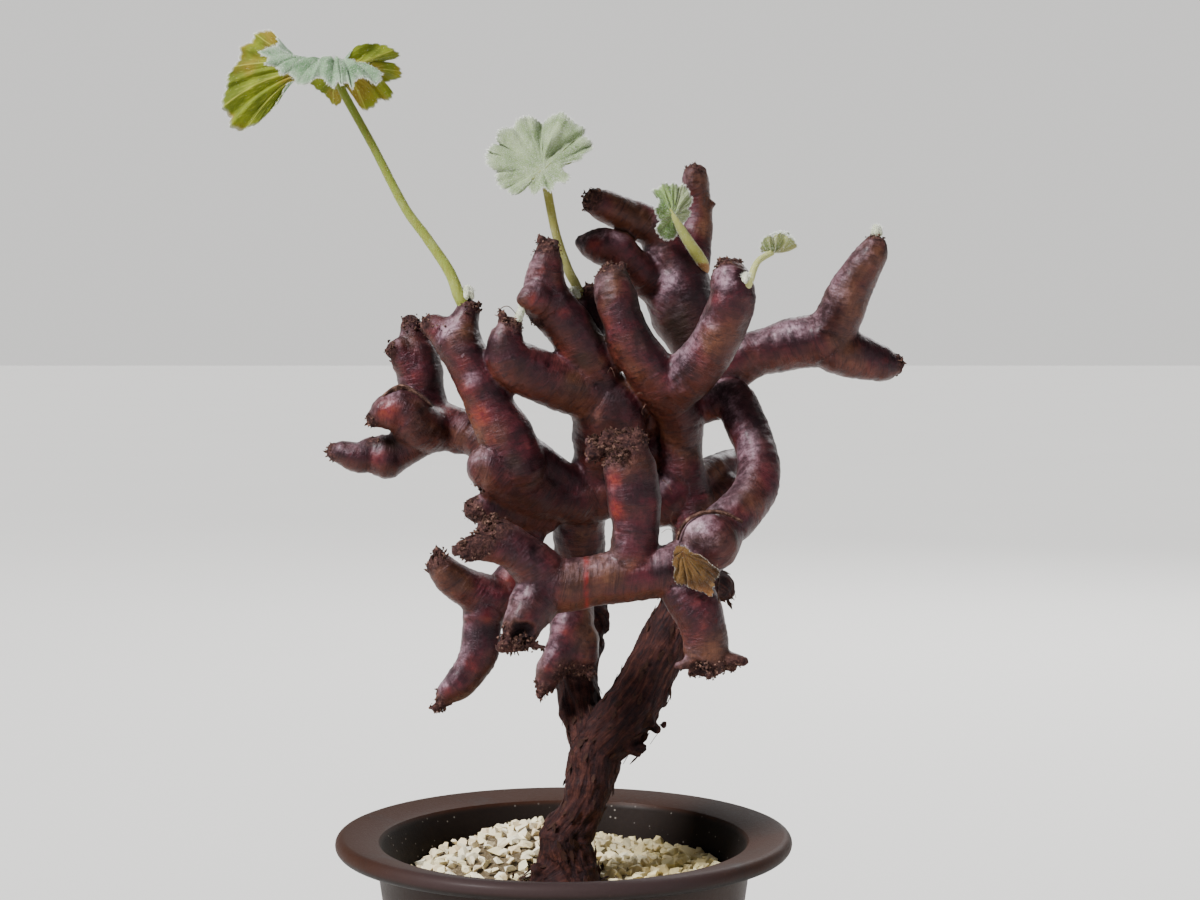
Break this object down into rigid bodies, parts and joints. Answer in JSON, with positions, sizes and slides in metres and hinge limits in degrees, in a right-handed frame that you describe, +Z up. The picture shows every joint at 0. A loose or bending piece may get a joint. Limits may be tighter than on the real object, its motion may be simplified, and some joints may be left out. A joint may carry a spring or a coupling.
{
  "type": "potted pelargonium",
  "caption": "Knotty, thick-stemmed pelargonium with downy fan-shaped leaves, growing in a round tapered pot topped with pale gravel.",
  "frame": {"origin": "the middle of the pot's flat underside", "axes": "+Z up along the pot's axis, -Y towards the side of the plant that faces the viewer, +X to that viewer's right"},
  "size_m": [0.1782, 0.12, 0.3025],
  "materials": {
    "pot": "satin",
    "soil": "matte",
    "gravel": "matte",
    "stem": "satin",
    "leaf": "matte",
    "dried_leaf": "matte",
    "bud": "matte"
  },
  "bodies": {
    "root": {"pot": "pot", "soil": "soil", "gravel": "gravel", "trunk_and_branches": "stem", "leaf_tall": "leaf", "leaf_crown": "leaf", "leaf_folded": "leaf", "leaf_small": "leaf", "leaf_dried": "dried_leaf", "bud_left": "bud", "bud_right": "bud"}
  },
  "joints": []
}
